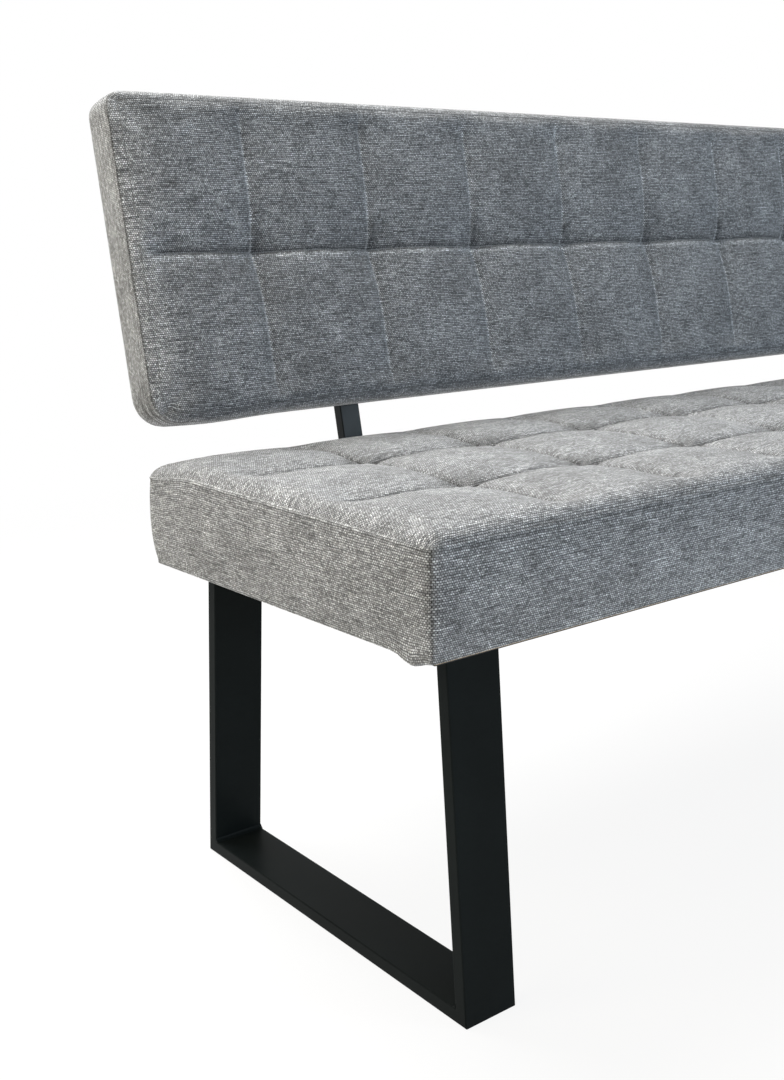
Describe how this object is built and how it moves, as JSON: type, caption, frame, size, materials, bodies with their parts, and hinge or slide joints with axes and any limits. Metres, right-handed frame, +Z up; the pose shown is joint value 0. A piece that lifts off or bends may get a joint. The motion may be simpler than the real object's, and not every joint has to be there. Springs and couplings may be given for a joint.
{
  "type": "upholstered bench with backrest",
  "caption": "Long upholstered bench with a tufted grey fabric seat, a tilted quilted backrest on steel posts and black steel loop legs.",
  "frame": {"origin": "on the floor, under the middle of the whole bench's bounding box", "axes": "+X along the bench to the sitter's left, -Y towards the front of the seat, +Z up"},
  "size_m": [1.8, 0.6431, 0.9],
  "materials": {
    "upholstery": "grey marled woven fabric with fine slubs",
    "black_steel": "matt black powder coat",
    "timber": "sawn softwood",
    "plywood": "plain birch plywood",
    "foam": "open upholstery foam",
    "dust_cloth": "thin black spun cloth",
    "twine": "waxed tufting twine",
    "zinc_steel": "zinc plated"
  },
  "bodies": {
    "root": {"arm_bolts": "zinc_steel", "arm_tee_nuts": "zinc_steel", "arm_washers": "zinc_steel", "back_board": "plywood", "back_bolts": "zinc_steel", "back_cover_front": "upholstery", "back_cover_rear": "upholstery", "back_foam": "foam", "back_post_left": "black_steel", "back_post_right": "black_steel", "back_rear_foam": "foam", "back_tee_nuts": "zinc_steel", "back_tuft_twines": "twine", "back_tuft_washers": "zinc_steel", "floor_rail_left": "black_steel", "floor_rail_right": "black_steel", "leg_bolts": "zinc_steel", "leg_cross_rail_left": "timber", "leg_cross_rail_right": "timber", "leg_front_left": "black_steel", "leg_front_right": "black_steel", "leg_rear_left": "black_steel", "leg_rear_right": "black_steel", "leg_tee_nuts": "zinc_steel", "leg_washers": "zinc_steel", "leg_welds_left": "black_steel", "leg_welds_right": "black_steel", "post_arm_left": "black_steel", "post_arm_right": "black_steel", "post_cross_rail_left": "timber", "post_cross_rail_right": "timber", "post_welds": "black_steel", "seat_bearer_left": "timber", "seat_bearer_right": "timber", "seat_cover": "upholstery", "seat_deck": "plywood", "seat_dust_cover": "dust_cloth", "seat_foam": "foam", "seat_rail_end_left": "timber", "seat_rail_end_right": "timber", "seat_rail_front": "timber", "seat_rail_rear": "timber", "seat_tuft_twines": "twine", "seat_tuft_washers": "zinc_steel", "top_rail_left": "black_steel", "top_rail_right": "black_steel"}
  },
  "joints": []
}
